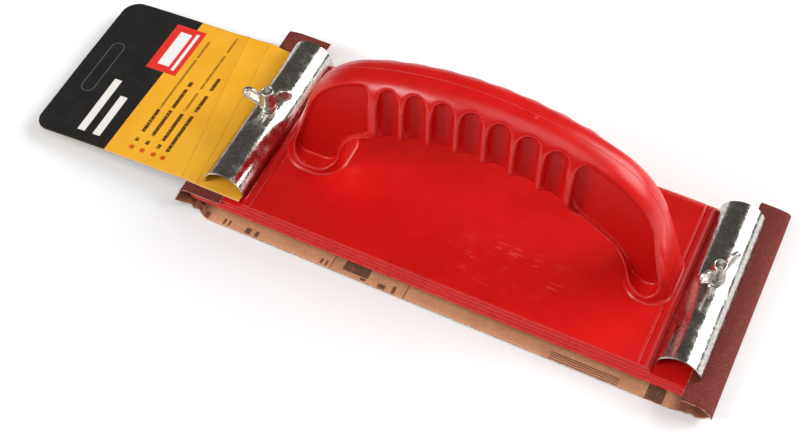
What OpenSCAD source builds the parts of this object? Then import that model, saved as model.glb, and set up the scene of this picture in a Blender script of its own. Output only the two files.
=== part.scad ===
// Hand sander for abrasive sheet: moulded base plate with a bridge handle, rubber pad,
// two sheet-steel clamps on studs with wing nuts, a fitted sheet and its retail card.
// Millimetres, +Z up. X runs along the sander, Y across it.
// Origin: centre of the plate, on the underside of the fitted sheet.

/* [Base plate] */
// Length of the moulded plate
plate_length = 234; // [200:1:260]
// Width of the flat top panel
panel_width = 86.4; // [70:0.2:110]
// Height of the flat top panel
panel_top = 12; // [9:0.1:16]
// Half length of the raised panel, up to the clamp seats
panel_half = 93.2; // [80:0.1:105]
// Drop from the panel to each clamp seat
seat_drop = 2.2; // [1:0.1:4]
// Outward run of the stepped sides, each side
side_run = 2; // [0.5:0.1:5]
// Number of ledges on each long side
side_ledges = 3; // [1:1:5]
// Wall and rib thickness of the moulding
wall = 2.2; // [1.5:0.1:4]
// Distance of the cross line in the panel from the middle
line_x = 88; // [70:0.5:92]

/* [Handle] */
// Half length of the handle at the plate
handle_half = 88.8; // [70:0.1:95]
// Height of the top of the handle
handle_top = 86; // [60:0.1:100]
// Radius of the long arch on top
arch_radius = 137; // [90:1:200]
// Radius of the two shoulders
shoulder_radius = 43; // [20:1:50]
// Inward lean of the outside of each leg, in degrees
leg_lean = 16; // [0:1:20]
// Height of the underside of the grip
grip_under = 53; // [45:0.5:70]
// Half width of the grip
grip_half_width = 12.2; // [10:0.1:18]
// Corner radius along the underside of the grip
grip_round = 8; // [2:0.5:11]
// Extra half width at the feet
foot_flare = 2.8; // [0:0.2:5]
// Inner face of the left leg at the plate
left_leg = 62; // [50:0.5:75]
// Inner face of the right leg at the plate
right_leg = 69.5; // [55:0.5:78]
// Number of finger flutes on each side
flutes = 7; // [3:1:9]
// Spacing of the flutes
flute_pitch = 11.95; // [8:0.05:16]
// Width of one flute
flute_width = 9.4; // [6:0.1:12]
// Thickness of the web left between the two sides
web = 12; // [6:0.5:20]
// Rim left around the leg pockets
rim = 2.6; // [1.2:0.1:4]
// Corner radius of the leg pockets
pocket_corner = 5; // [1:0.5:6]

/* [Pad and sheet] */
// Thickness of the rubber pad
pad_thickness = 4.3; // [2:0.1:8]
// Distance the pad stays inside the plate's lower edge
pad_inset = 2.5; // [0:0.1:6]
// Thickness of the abrasive sheet
sheet_thickness = 0.5; // [0.3:0.05:1]
// Width of the abrasive sheet
sheet_width = 106.4; // [93:0.2:115]
// Distance of the left flap's end from the middle
left_flap_end = 101.2; // [98:0.1:112]
// Distance of the right flap's end from the middle
right_flap_end = 108.4; // [98:0.1:112]

/* [Clamps] */
// Distance of each stud from the middle
stud_x = 103.3; // [98:0.1:110]
// Sideways position shared by studs, clamps, sheet and card
line_y = 3; // [-5:0.1:5]
// Stud diameter
stud_d = 4; // [3:0.5:6]
// Height of the top of the studs
stud_top = 31; // [26:0.5:40]
// Outer radius of the half-round clamp
clamp_radius = 10; // [7:0.1:14]
// Sheet thickness of the clamp
clamp_sheet = 1; // [0.6:0.1:1.6]
// Length of the clamp
clamp_length = 84.4; // [60:0.2:100]
// Hole in the clamp for the stud
clamp_hole = 5; // [4.2:0.1:7]

/* [Wing nuts] */
// Tip to tip width of the wings
nut_span = 22; // [16:0.5:30]
// Height of the nut to the tips
nut_height = 12; // [8:0.5:16]
// Diameter of the hub at its base
hub_base_d = 8; // [6:0.1:12]
// Diameter of the hub at its top
hub_top_d = 6; // [5:0.1:10]
// Radial play between nut and stud
nut_play = 0.06; // [0.02:0.01:0.1]
// Turn of the left nut at rest
left_nut_turn = 21; // [0:1:180]
// Turn of the right nut at rest
right_nut_turn = 61; // [0:1:180]

/* [Hang card] */
// Length of the card
card_length = 107; // [80:1:140]
// Width of the card
card_width = 85; // [60:1:100]
// Thickness of the card
card_thickness = 0.5; // [0.3:0.05:1]
// Radius of the outer corners
card_corner = 8; // [2:0.5:15]
// Height of the card's free end
card_end_z = 5; // [2:0.5:12]

/* [Hidden] */
gap = 0.03;
plate_under = sheet_thickness + pad_thickness;
seat_z = panel_top - seat_drop;
plate_half = plate_length / 2;
flap_top = seat_z + gap + sheet_thickness;
fold_radius = (flap_top) / 2;
clamp_axis_right = flap_top + gap;
clamp_axis_left = flap_top + card_thickness + 2 * gap;
flute_first = -38.3;
flute_top = 82.6;
pocket_left = -47.4;
pocket_right = 41.5;
red = [0.80, 0.09, 0.08];
steel = [0.62, 0.62, 0.60];
zinc = [0.72, 0.72, 0.70];

// Base plate

module ledge_slab(i) {
    n = side_ledges + 1;
    step = (panel_top - plate_under) / n;
    w = panel_width + 2 * side_run * (n - 1 - i) / side_ledges;
    translate([-plate_half, -w / 2, plate_under])
        cube([plate_length, w, (i + 1) * step]);
}

module plate_cavity() {
    w = panel_width - 2 * wall;
    h = seat_z - wall - plate_under + 0.01;
    translate([-plate_half + wall, -w / 2, plate_under - 0.01])
        cube([plate_length - 2 * wall, w, h]);
}

module plate_ribs() {
    w = panel_width - 2 * wall + 1;
    h = seat_z - wall - plate_under + 0.5;
    for (x = [-72 : 24 : 72])
        translate([x - 0.8, -w / 2, plate_under]) cube([1.6, w, h]);
    for (y = [-27, -9, 9, 27])
        translate([-plate_half + 1, y - 0.8, plate_under])
            cube([plate_length - 2, 1.6, h]);
    for (s = [-1, 1])
        translate([s * stud_x, line_y, plate_under]) cylinder(d = 15, h = h, $fn = 64);
}

module seat_cut(s) {
    x = s > 0 ? panel_half : -plate_half - 1;
    translate([x, -60, seat_z]) cube([plate_half + 1 - panel_half, 120, 20]);
}

module base_plate() {
    color(red)
    difference() {
        union() {
            difference() {
                union() {
                    for (i = [0 : side_ledges]) ledge_slab(i);
                }
                plate_cavity();
            }
            plate_ribs();
        }
        for (s = [-1, 1]) {
            seat_cut(s);
            translate([s * line_x - 0.3, -60, panel_top - 0.4]) cube([0.6, 120, 5]);
            translate([s * stud_x, line_y, 0]) cylinder(d = stud_d + 0.3, h = 30, $fn = 48);
            translate([s * stud_x, line_y, plate_under - 1])
                cylinder(d = 10.6, h = 3.7, $fn = 48);
        }
    }
}

// Handle

function corner_centre(a, tilt, r, top_r, top_z) =
    let (z0 = top_z - top_r,
         d = a * cos(tilt) + panel_top * sin(tilt),
         s = z0 * cos(tilt) + sqrt(pow(top_r - r, 2) - pow(d - r - z0 * sin(tilt), 2)))
    [(d - r) * cos(tilt) - s * sin(tilt), (d - r) * sin(tilt) + s * cos(tilt)];

// Half of an arch: leg, shoulder and top arc, from the plate to the middle
function half_arch(a, tilt, r, top_r, top_z, nl, ns, nt) =
    let (c = corner_centre(a, tilt, r, top_r, top_z),
         z0 = top_z - top_r,
         end = atan2(c[1] - z0, c[0]),
         t = [c[0] + r * cos(tilt), c[1] + r * sin(tilt)])
    concat(
        [for (i = [0 : nl - 1]) [a, panel_top] + (t - [a, panel_top]) * i / nl],
        [for (i = [0 : ns - 1])
            let (q = tilt + (end - tilt) * i / ns) [c[0] + r * cos(q), c[1] + r * sin(q)]],
        [for (i = [0 : nt])
            let (q = end + (90 - end) * i / nt) [top_r * cos(q), z0 + top_r * sin(q)]]);

function mirror_x(pts) = [for (p = pts) [-p[0], p[1]]];
function reversed(pts) = [for (i = [len(pts) - 1 : -1 : 0]) pts[i]];
function tail(pts) = [for (i = [1 : len(pts) - 1]) pts[i]];

outer_half = half_arch(handle_half, leg_lean, shoulder_radius, arch_radius, handle_top, 4, 7, 8);
inner_left = half_arch(left_leg, 3, 22, 97, grip_under, 4, 7, 8);
inner_right = half_arch(right_leg, 11, 24, 97, grip_under, 4, 7, 8);
outer_pts = concat(outer_half, tail(reversed(mirror_x(outer_half))));
inner_pts = concat(inner_right, tail(reversed(mirror_x(inner_left))));
sections = len(outer_pts);
corner_out = 6;
corner_in = 4;
around = 2 * corner_out + 2 * corner_in + 4;

// Quarter round of a section, from angle q0, about (cy, cn)
function quarter(cy, cn, r, q0, n) =
    [for (k = [0 : n]) let (q = q0 + 90 * k / n) [cy + r * cos(q), cn + r * sin(q)]];

// One closed section of the handle: half-round outside, rounder and wider at the feet
function section(i) =
    let (o = outer_pts[i],
         n = inner_pts[i],
         c = (o + n) / 2,
         h = norm(o - n) / 2,
         dir = (o - n) / norm(o - n),
         k = min(1, 3.9 * min(i, sections - 1 - i) / (sections - 1)),
         w = grip_half_width + foot_flare * pow(1 - k, 2),
         ro = min(grip_half_width - 0.4, h - 0.3),
         ri = min(grip_round + (11 - grip_round) * (1 - k), h - 0.3))
    [for (p = concat(quarter(w - ro, h - ro, ro, 0, corner_out),
                     quarter(ro - w, h - ro, ro, 90, corner_out),
                     quarter(ri - w, ri - h, ri, 180, corner_in),
                     quarter(w - ri, ri - h, ri, 270, corner_in)))
        [c[0] + dir[0] * p[1], p[0], c[1] + dir[1] * p[1]]];

module handle_bar() {
    pts = [for (i = [0 : sections - 1]) each section(i)];
    sides = [for (i = [0 : sections - 2]) for (j = [0 : around - 1])
        let (a = i * around + j,
             b = i * around + (j + 1) % around)
        [a, b, b + around, a + around]];
    caps = [[for (j = [around - 1 : -1 : 0]) j],
            [for (j = [0 : around - 1]) (sections - 1) * around + j]];
    polyhedron(points = pts, faces = concat(sides, caps), convexity = 6);
}

module handle_outline() {
    polygon(concat(outer_pts, reversed(inner_pts)));
}

module side_cut(depth_from) {
    for (s = [-1, 1])
        translate([0, s > 0 ? 30 : -depth_from, 0])
            rotate([90, 0, 0]) linear_extrude(height = 30 - depth_from) children();
}

module flute_shape(i) {
    x = flute_first + i * flute_pitch;
    r = flute_width / 2;
    dip = x * x / (2 * arch_radius);
    translate([x, flute_top - dip - r]) circle(r = r, $fn = 40);
    translate([x - r, 45]) square([flute_width, flute_top - dip - r - 45]);
}

module pocket_shape(x_from, x_to) {
    offset(r = pocket_corner) offset(delta = -pocket_corner)
        intersection() {
            offset(delta = -rim) handle_outline();
            translate([x_from, panel_top + rim]) square([x_to - x_from, 80]);
        }
}

module handle() {
    color(red)
    difference() {
        handle_bar();
        side_cut(web / 2 + 0.5)
            for (i = [0 : flutes - 1]) flute_shape(i);
        side_cut(web / 2) pocket_shape(-95, pocket_left);
        side_cut(web / 2) pocket_shape(pocket_right, 95);
    }
}

// Pad under the plate

module rubber_pad() {
    w = panel_width + 2 * side_run - 2 * pad_inset;
    color([0.20, 0.20, 0.20])
    translate([-plate_half + 1, -w / 2, sheet_thickness])
        cube([plate_length - 2, w, pad_thickness]);
}

// Studs

module stud(s) {
    color(zinc)
    translate([s * stud_x, line_y, 0]) {
        translate([0, 0, plate_under + 0.1]) cylinder(d = 10, h = 2.5, $fn = 64);
        translate([0, 0, plate_under + 0.1])
            cylinder(d = stud_d, h = stud_top - plate_under - 0.6, $fn = 48);
        translate([0, 0, stud_top - 0.5]) cylinder(d1 = stud_d, d2 = stud_d - 1, h = 0.5, $fn = 48);
    }
}

module stud_left() {
    stud(-1);
}

module stud_right() {
    stud(1);
}

// Clamps: a half-round channel with a deeper inner edge

module clamp_section(inner_drop) {
    difference() {
        union() {
            circle(r = clamp_radius, $fn = 96);
            translate([-clamp_radius, -inner_drop]) square([clamp_radius, inner_drop]);
        }
        circle(r = clamp_radius - clamp_sheet, $fn = 96);
        translate([-clamp_radius + clamp_sheet, -inner_drop - 1])
            square([clamp_radius, inner_drop + 1]);
        translate([0, -20]) square([20, 20]);
        translate([-20, -20 - inner_drop]) square([40, 20]);
    }
}

module clamp(s, axis_z) {
    color(steel)
    difference() {
        translate([s * stud_x, line_y + clamp_length / 2, axis_z])
            rotate([90, 0, 0]) linear_extrude(height = clamp_length)
                scale([s, 1]) clamp_section(axis_z - seat_z - gap);
        translate([s * stud_x, line_y, axis_z]) cylinder(d = clamp_hole, h = 20, $fn = 48);
    }
}

module clamp_left() {
    clamp(-1, clamp_axis_left);
}

module clamp_right() {
    clamp(1, clamp_axis_right);
}

// Wing nuts

module wing_outline() {
    tip = nut_span / 2 - 3.2;
    hull() {
        translate([tip, nut_height - 3.2]) circle(r = 3.2, $fn = 48);
        translate([hub_base_d / 2 - 1.6, 3]) circle(r = 1.4, $fn = 32);
        translate([hub_top_d / 2 - 0.8, 7]) circle(r = 0.8, $fn = 32);
    }
}

module wing_nut(s, base_z, turn) {
    color(zinc)
    translate([s * stud_x, line_y, base_z]) rotate([0, 0, turn])
    difference() {
        union() {
            cylinder(d = hub_base_d, h = 1.2, $fn = 64);
            translate([0, 0, 1.2])
                cylinder(d1 = hub_base_d, d2 = hub_top_d, h = nut_height - 2.4, $fn = 64);
            for (a = [0, 180])
                rotate([90, 0, a]) translate([0, 0, -0.9])
                    linear_extrude(height = 1.8) wing_outline();
        }
        translate([0, 0, -1])
            cylinder(d = stud_d + 2 * nut_play, h = nut_height + 4, $fn = 48);
    }
}

module wing_nut_left() {
    wing_nut(-1, clamp_axis_left + clamp_radius + gap, left_nut_turn);
}

module wing_nut_right() {
    wing_nut(1, clamp_axis_right + clamp_radius + gap, right_nut_turn);
}

// Abrasive sheet: flat under the pad, folded up round both ends, flaps on the seats

module fold(s) {
    r = fold_radius;
    intersection() {
        difference() {
            circle(r = r, $fn = 96);
            circle(r = r - sheet_thickness, $fn = 96);
        }
        translate([s > 0 ? 0 : -20, -20]) square([20, 40]);
    }
}

module sandpaper_sheet() {
    y0 = line_y + sheet_width / 2;
    color([0.50, 0.23, 0.19])
    difference() {
        translate([0, y0, 0]) rotate([90, 0, 0]) linear_extrude(height = sheet_width)
            union() {
                translate([-plate_half, 0]) square([plate_length, sheet_thickness]);
                for (s = [-1, 1])
                    translate([s * (plate_half + gap), fold_radius]) fold(s);
                for (s = [-1, 1])
                    translate([s > 0 ? plate_half : -plate_half - gap, 0])
                        square([gap, sheet_thickness]);
                translate([-plate_half - gap, flap_top - sheet_thickness])
                    square([plate_half + gap - left_flap_end, sheet_thickness]);
                translate([right_flap_end, flap_top - sheet_thickness])
                    square([plate_half + gap - right_flap_end, sheet_thickness]);
            }
        translate([-stud_x, line_y, 5]) cylinder(d = 6, h = 10, $fn = 48);
    }
}

// Hang card: flat under the left clamp, drooping to its free end

module card_outline() {
    r = card_corner;
    x_in = -(stud_x - clamp_radius + 1 + gap);
    hull() {
        for (y = [-1, 1])
            translate([x_in - card_length + r, line_y - 2.5 + y * (card_width / 2 - r)])
                circle(r = r, $fn = 64);
        for (y = [-1, 1])
            translate([x_in - 1.5, line_y - 2.5 + y * (card_width / 2 - 1.5)])
                circle(r = 1.5, $fn = 32);
    }
}

module card_profile() {
    z0 = flap_top + gap;
    x0 = -plate_half;
    x1 = -(stud_x - clamp_radius + 1 + gap) - card_length;
    n = 8;
    pts = [for (i = [0 : n])
        let (t = i / n) [x0 + (x1 - x0) * t, z0 + (card_end_z - z0) * (0.35 * t + 0.65 * t * t)]];
    up = [for (p = reversed(pts)) p + [0, card_thickness]];
    polygon(concat([[-90, z0]], pts, up, [[-90, z0 + card_thickness]]));
}

module header_card() {
    color([0.93, 0.68, 0.20])
    difference() {
        intersection() {
            linear_extrude(height = 30) card_outline();
            translate([0, 60, 0]) rotate([90, 0, 0]) linear_extrude(height = 120) card_profile();
        }
        translate([-stud_x, line_y, 0]) cylinder(d = 6, h = 20, $fn = 48);
    }
}

base_plate();
handle();
rubber_pad();
stud_left();
stud_right();
clamp_left();
clamp_right();
wing_nut_left();
wing_nut_right();
sandpaper_sheet();
header_card();
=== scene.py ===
"""Looks of the hand sander: finished meshes, materials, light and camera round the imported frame.

Pieces are worked out in millimetres, and make() turns them into metres. The lamps and the
camera are placed in metres.
"""

import math
from contextlib import contextmanager

import bmesh
import bpy
import numpy as np
from mathutils import Matrix, Vector, noise


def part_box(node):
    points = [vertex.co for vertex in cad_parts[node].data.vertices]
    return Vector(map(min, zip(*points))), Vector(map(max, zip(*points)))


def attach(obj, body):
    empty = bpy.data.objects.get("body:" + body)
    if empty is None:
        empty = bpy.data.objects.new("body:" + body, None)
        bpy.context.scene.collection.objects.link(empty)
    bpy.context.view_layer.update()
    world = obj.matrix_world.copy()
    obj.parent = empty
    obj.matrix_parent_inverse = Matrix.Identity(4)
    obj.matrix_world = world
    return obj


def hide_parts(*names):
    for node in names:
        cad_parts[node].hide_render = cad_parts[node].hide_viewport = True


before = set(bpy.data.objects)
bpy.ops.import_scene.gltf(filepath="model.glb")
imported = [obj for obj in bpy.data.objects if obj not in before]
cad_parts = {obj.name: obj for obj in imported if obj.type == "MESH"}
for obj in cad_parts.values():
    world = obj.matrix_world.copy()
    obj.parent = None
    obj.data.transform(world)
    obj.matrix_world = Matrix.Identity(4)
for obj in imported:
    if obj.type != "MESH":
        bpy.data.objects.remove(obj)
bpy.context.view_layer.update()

MM = 0.001

# How far the clamp seats lie below the base's panel, and the gap left between stacked pieces.
SEAT_DROP = 2.2
CLEARANCE = 0.03

# Thickness of the abrasive sheet and of the hang card.
PAPER = 0.5
CARD = 0.5

# Middle of the card's hang slot, half the length of its straight part, and its radius.
SLOT = (-190, 0.3)
SLOT_HALF = 12.5
SLOT_RADIUS = 3.2

# The card's main crease, as X and Y of its two ends.
CREASE = (-136.1, 42.4, -122.8, -40.7)

# Radius of a stud's head, the lead of its thread, and how finely the handle's outline is divided.
STUD_HEAD = 5.0
LEAD = 0.7
FINENESS = 5


def box_mm(node):
    """Lowest and highest corner of a CAD node, in millimetres."""
    lo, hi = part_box(node)
    return np.array(lo) / MM, np.array(hi) / MM


# ---- mesh helpers

def smooth_step(t):
    """Rises from 0 to 1 as t goes from 0 to 1, level at both ends."""
    t = np.clip(t, 0, 1)
    return t * t * (3 - 2 * t)


def ripple(points, size, seed=0.0):
    """Smooth noise from -1 to 1 at each point; size is its grain in millimetres."""
    shift = Vector((seed, 2.3 * seed, -1.7 * seed))
    return np.array([noise.noise(Vector(p) / size + shift) for p in points])


def resample(line, count):
    """The polyline again, with count points at even spacing."""
    line = np.asarray(line, float)
    run = np.concatenate([[0], np.cumsum(np.linalg.norm(np.diff(line, axis=0), axis=1))])
    at = np.linspace(0, run[-1], count)
    return np.stack([np.interp(at, run, line[:, k]) for k in range(line.shape[1])], 1)


def curve(knots, count):
    """A smooth line through knots, resampled evenly."""
    knots = np.asarray(knots, float)
    ends = np.concatenate([[2 * knots[0] - knots[1]], knots, [2 * knots[-1] - knots[-2]]])
    t = np.linspace(0, 1, 12, endpoint=False)[:, None]
    out = []
    for a, b, c, d in zip(ends, ends[1:], ends[2:], ends[3:]):
        out.append(b + 0.5 * t * (c - a + t * (2 * a - 5 * b + 4 * c - d + t * (3 * (b - c) + d - a))))
    return resample(np.concatenate(out + [knots[-1:]]), count)


def arc(centre, radius, start, end, steps):
    """Points of an arc in a plane, with its angles in degrees."""
    q = np.radians(np.linspace(start, end, steps))
    return np.stack([centre[0] + radius * np.cos(q), centre[1] + radius * np.sin(q)], 1)


def grid_quads(rows, columns, wrap=False):
    """Quads of a grid of points. wrap joins the last column to the first."""
    i = np.arange(rows - 1)[:, None]
    j = np.arange(columns if wrap else columns - 1)[None, :]
    k = (j + 1) % columns
    quads = np.stack([i * columns + j, i * columns + k, (i + 1) * columns + k, (i + 1) * columns + j], -1)
    return quads.reshape(-1, 4).tolist()


def tube_faces(rings, count):
    """Faces of a tube of rings with count points each, closed with a cap at both ends."""
    last = (rings - 1) * count
    caps = [list(range(count - 1, -1, -1)), list(range(last, last + count))]
    return grid_quads(rings, count, wrap=True) + caps


def make(name, points, faces, materials, body=None, choose=None):
    """A smooth mesh piece, riding on a body if one is given. choose is each face's material number."""
    mesh = bpy.data.meshes.new(name)
    mesh.from_pydata((np.asarray(points, float) * MM).tolist(), [], faces)
    for material in materials:
        mesh.materials.append(material)
    if choose is not None:
        mesh.polygons.foreach_set("material_index", np.asarray(choose, np.int32))
    mesh.validate()
    piece = bpy.data.objects.new(name, mesh)
    bpy.context.scene.collection.objects.link(piece)
    shade(piece)
    if body:
        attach(piece, body)
    return piece


@contextmanager
def editing(piece):
    """Opens a piece's mesh for changes and writes them back."""
    bm = bmesh.new()
    bm.from_mesh(piece.data)
    yield bm
    bm.to_mesh(piece.data)
    bm.free()


def shade(piece, angle=None):
    """Smooth shading, with edges sharper than angle degrees kept crisp."""
    mesh = piece.data
    mesh.polygons.foreach_set("use_smooth", [True] * len(mesh.polygons))
    if angle is not None:
        with editing(piece) as bm:
            for edge in bm.edges:
                edge.smooth = len(edge.link_faces) == 2 and edge.calc_face_angle(0) < math.radians(angle)
    mesh.update()


def outward(piece):
    """Turns every face outwards and joins doubled points."""
    with editing(piece) as bm:
        bmesh.ops.remove_doubles(bm, verts=bm.verts, dist=1e-6)
        bmesh.ops.recalc_face_normals(bm, faces=bm.faces)


def settle(piece):
    """Replaces a piece's mesh with what its modifiers make of it."""
    graph = bpy.context.evaluated_depsgraph_get()
    done = bpy.data.meshes.new_from_object(piece.evaluated_get(graph))
    materials = list(piece.data.materials)
    piece.modifiers.clear()
    piece.data = done
    if not len(done.materials):
        for material in materials:
            done.materials.append(material)


def relax(piece, rounds):
    """Evens out the cells of a piece and rounds its edges over."""
    smooth = piece.modifiers.new("relax", "SMOOTH")
    smooth.factor = 0.5
    smooth.iterations = rounds
    settle(piece)


def cut_flat(piece, height):
    """Takes off what lies below a height and closes the cut."""
    with editing(piece) as bm:
        everything = bm.verts[:] + bm.edges[:] + bm.faces[:]
        bmesh.ops.bisect_plane(bm, geom=everything, plane_co=(0, 0, height * MM), plane_no=(0, 0, 1),
                               clear_inner=True)
        rim = [e for e in bm.edges if e.is_boundary]
        bmesh.ops.holes_fill(bm, edges=rim, sides=0)
        bmesh.ops.recalc_face_normals(bm, faces=bm.faces)


def rounded(u, v, radius):
    """Distance from the space where u and v are both negative, its edge rounded off."""
    outside = np.hypot(np.maximum(u + radius, 0), np.maximum(v + radius, 0))
    return outside + np.minimum(np.maximum(u, v) + radius, 0) - radius


def carve(solid, tool, lip):
    """Distance from a solid with a tool taken out of it, the lip of the cut rounded."""
    blend = np.maximum(lip - np.abs(solid + tool), 0) / lip
    return np.maximum(solid, -tool) + blend * blend * lip / 4


def join(a, b, fillet):
    """Distance from two solids joined with a fillet between them."""
    blend = np.maximum(fillet - np.abs(a - b), 0) / fillet
    return np.minimum(a, b) - blend * blend * fillet / 4


def axes_of(lo, hi, cell):
    """Evenly spaced coordinates along X, Y and Z that cover a box."""
    return [low + cell * np.arange(int(math.ceil((high - low) / cell)) + 1) for low, high in zip(lo, hi)]


def field_mesh(field, lo, cell):
    """Points and quads of the surface where a grid of distances crosses zero."""
    inside = field < 0
    size = np.array(field.shape) - 1
    total = np.zeros((*size, 3))
    count = np.zeros(size)
    corners = np.indices(field.shape).transpose(1, 2, 3, 0).astype(float)
    for axis in range(3):
        others = [k for k in range(3) if k != axis]
        first = [slice(None)] * 3
        second = [slice(None)] * 3
        first[axis] = slice(0, -1)
        second[axis] = slice(1, None)
        first, second = tuple(first), tuple(second)
        crossed = inside[first] != inside[second]
        drop = np.where(crossed, field[first] - field[second], 1)
        spot = corners[first].copy()
        spot[..., axis] += np.where(crossed, field[first] / drop, 0)
        spot[~crossed] = 0
        for u in (0, 1):
            for v in (0, 1):
                part = [slice(None)] * 3
                part[others[0]] = slice(u, u + size[others[0]])
                part[others[1]] = slice(v, v + size[others[1]])
                total += spot[tuple(part)]
                count += crossed[tuple(part)]
    used = count > 0
    index = np.full(size, -1)
    index[used] = np.arange(used.sum())
    points = total[used] / count[used][:, None] * cell + lo
    quads = []
    for axis in range(3):
        others = [k for k in range(3) if k != axis]
        first = [slice(1, -1)] * 3
        second = [slice(1, -1)] * 3
        first[axis] = slice(0, -1)
        second[axis] = slice(1, None)
        enters = inside[tuple(first)].astype(int) - inside[tuple(second)].astype(int)
        for way in (1, -1):
            spots = np.argwhere(enters == way)
            shift = np.ones(3, int)
            shift[axis] = 0
            spots = spots + shift
            ring = []
            for u, v in ((0, 0), (1, 0), (1, 1), (0, 1)):
                cell_at = spots.copy()
                cell_at[:, others[0]] -= u
                cell_at[:, others[1]] -= v
                ring.append(index[tuple(cell_at.T)])
            turn = way if axis != 1 else -way
            quads.append(np.stack(ring[::turn], 1))
    return points, np.concatenate(quads).tolist()


def thick_sheet(middle, thickness, bulge=0.35):
    """Points and faces of a closed sheet round a grid of middle points, with a rounded rim.

    The third result is 0 for faces on the side of the grid's normal, 1 on the other and 2 on the rim.
    """
    rows, columns = middle.shape[:2]
    down = np.gradient(middle, axis=0)
    across = np.gradient(middle, axis=1)
    down /= np.linalg.norm(down, axis=2)[..., None]
    across /= np.linalg.norm(across, axis=2)[..., None]
    normal = np.cross(down, across)
    normal /= np.linalg.norm(normal, axis=2)[..., None]
    i = np.concatenate([np.zeros(columns - 1), np.arange(rows - 1),
                        np.full(columns - 1, rows - 1), np.arange(rows - 1, 0, -1)]).astype(int)
    j = np.concatenate([np.arange(columns - 1), np.full(rows - 1, columns - 1),
                        np.arange(columns - 1, 0, -1), np.zeros(rows - 1)]).astype(int)
    away = across[i, j] * ((j == columns - 1).astype(float) - (j == 0))[:, None]
    away += down[i, j] * ((i == rows - 1).astype(float) - (i == 0))[:, None]
    away /= np.linalg.norm(away, axis=1)[:, None]
    rim = middle[i, j] + away * thickness * bulge
    points = np.concatenate([(middle + normal * thickness / 2).reshape(-1, 3),
                             (middle - normal * thickness / 2).reshape(-1, 3), rim])
    one_side = np.array(grid_quads(rows, columns))
    total = rows * columns
    edge = i * columns + j
    after = np.roll(edge, -1)
    here = 2 * total + np.arange(len(edge))
    there = np.roll(here, -1)
    upper = np.stack([edge, here, there, after], 1)
    lower = np.stack([edge + total, after + total, there, here], 1)
    faces = np.concatenate([one_side, one_side[:, ::-1] + total, upper, lower])
    sides = np.repeat([0, 1, 2], [len(one_side), len(one_side), 2 * len(edge)])
    return points, faces.tolist(), sides


def lathe(profile, steps, centre):
    """Points and faces of a solid turned about a vertical line; the profile is (radius, z)."""
    profile = np.asarray(profile, float)
    q = np.linspace(0, 2 * math.pi, steps, endpoint=False)
    points = np.stack([centre[0] + profile[:, :1] * np.cos(q), centre[1] + profile[:, :1] * np.sin(q),
                       np.repeat(profile[:, 1:], steps, 1)], -1).reshape(-1, 3)
    return points, tube_faces(len(profile), steps)


# ---- material helpers

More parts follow.
